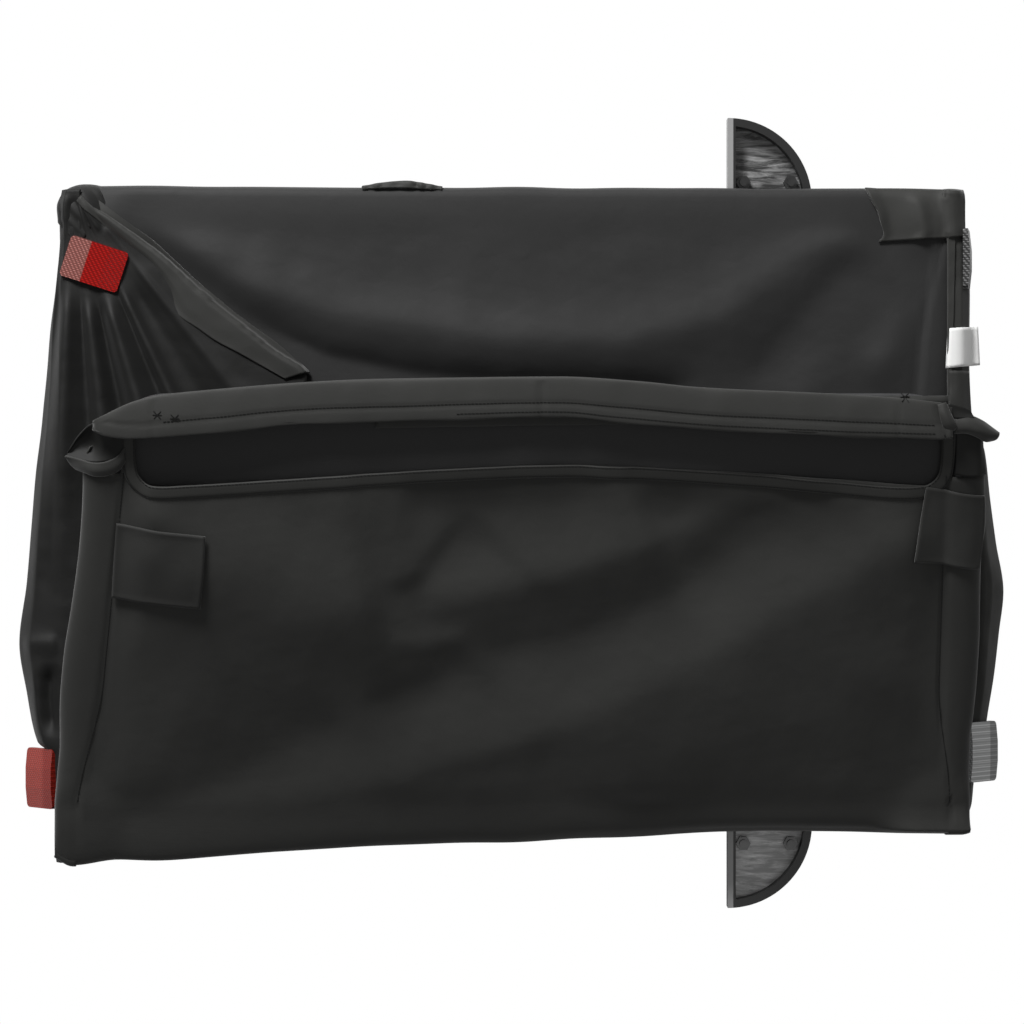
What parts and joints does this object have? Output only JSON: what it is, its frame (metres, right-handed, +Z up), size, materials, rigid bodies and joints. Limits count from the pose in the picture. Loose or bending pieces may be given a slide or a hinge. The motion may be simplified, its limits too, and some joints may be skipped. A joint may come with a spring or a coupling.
{
  "type": "folded bicycle cargo trailer",
  "caption": "Box trailer for towing behind a bicycle, folded flat with its wheels off: steel tube base, hinged cloth side frames, end panels, wheel guards, reflectors and stowed tow arm.",
  "frame": {"origin": "centre of the bounding box's footprint, on the floor that the corner feet stand on", "axes": "+X is the direction of travel, +Y the trailer's left side, +Z up"},
  "size_m": [0.983, 0.798, 0.2748],
  "materials": {
    "frame_steel": "black powder coat",
    "corner_plastic": "moulded, lightly grained",
    "foot_rubber": "matt rubber",
    "zinc_steel": "zinc plated",
    "guard_plastic": "moulded, scuffed floor",
    "wall_cloth": "coated polyester, soft sheen",
    "band_cloth": "coated polyester, folded double",
    "window_mesh": "fine open mesh",
    "red_reflector": "prismatic lens",
    "clear_reflector": "prismatic lens"
  },
  "bodies": {
    "base": {"axle_receiver_left": "zinc_steel", "axle_receiver_right": "zinc_steel", "corner_front_left": "corner_plastic", "corner_front_right": "corner_plastic", "corner_rear_left": "corner_plastic", "corner_rear_right": "corner_plastic", "cross_rail_front": "frame_steel", "cross_rail_mid": "frame_steel", "cross_rail_rear": "frame_steel", "end_bundle_front": "wall_cloth", "end_bundle_rear": "wall_cloth", "feet": "foot_rubber", "floor_panel": "wall_cloth", "guard_bolts_left": "zinc_steel", "guard_bolts_right": "zinc_steel", "guard_bracket_left": "zinc_steel", "guard_bracket_right": "zinc_steel", "hinge_pins_left": "zinc_steel", "hinge_pins_right": "zinc_steel", "reflector_front_left": "clear_reflector", "reflector_front_right": "clear_reflector", "reflector_rear_right": "red_reflector", "side_rail_left": "frame_steel", "side_rail_right": "frame_steel", "side_skirt_left": "wall_cloth", "side_skirt_right": "wall_cloth", "tow_bracket": "zinc_steel", "tow_pin": "zinc_steel", "wheel_guard_left": "guard_plastic", "wheel_guard_right": "guard_plastic"},
    "right_side": {"side_hoop_right": "frame_steel", "side_wall_right": "wall_cloth", "side_sleeve_right": "wall_cloth", "window_right": "window_mesh", "top_band_right": "band_cloth"},
    "left_side": {"side_hoop_left": "frame_steel", "side_wall_left": "wall_cloth", "side_sleeve_left": "wall_cloth", "window_left": "window_mesh", "top_band_left": "band_cloth"},
    "rear_end": {"rear_panel": "wall_cloth", "reflector_rear_left": "red_reflector"},
    "front_end": {"front_panel": "wall_cloth"},
    "tow_bar": {"tow_arm": "frame_steel", "coupler_head": "corner_plastic"}
  },
  "joints": [
    {"name": "right_side_fold", "type": "hinge", "parent": "base", "child": "right_side", "pos_m": [0, -0.3055, 0.108], "axis": [1, 0, 0], "range_deg": [0, 71]},
    {"name": "left_side_fold", "type": "hinge", "parent": "base", "child": "left_side", "pos_m": [0, 0.3055, 0.076], "axis": [-1, 0, 0], "range_deg": [0, 90]},
    {"name": "rear_end_fold", "type": "hinge", "parent": "base", "child": "rear_end", "pos_m": [-0.452, 0, 0.088], "axis": [0, -1, 0], "range_deg": [0, 90], "deforming": ["rear_panel", "reflector_rear_left"]},
    {"name": "front_end_fold", "type": "hinge", "parent": "base", "child": "front_end", "pos_m": [0.452, 0, 0.088], "axis": [0, 1, 0], "range_deg": [0, 90], "deforming": ["front_panel"]},
    {"name": "tow_arm_fold", "type": "hinge", "parent": "base", "child": "tow_bar", "pos_m": [0.44, 0.22, 0.019], "axis": [0, -1, 0], "range_deg": [0, 180]}
  ],
  "couplings": [
    {"joint": "left_side_fold", "follows": "right_side_fold", "ratio": 1.2675},
    {"joint": "rear_end_fold", "follows": "right_side_fold", "ratio": 1.2675},
    {"joint": "front_end_fold", "follows": "right_side_fold", "ratio": 1.2675}
  ]
}
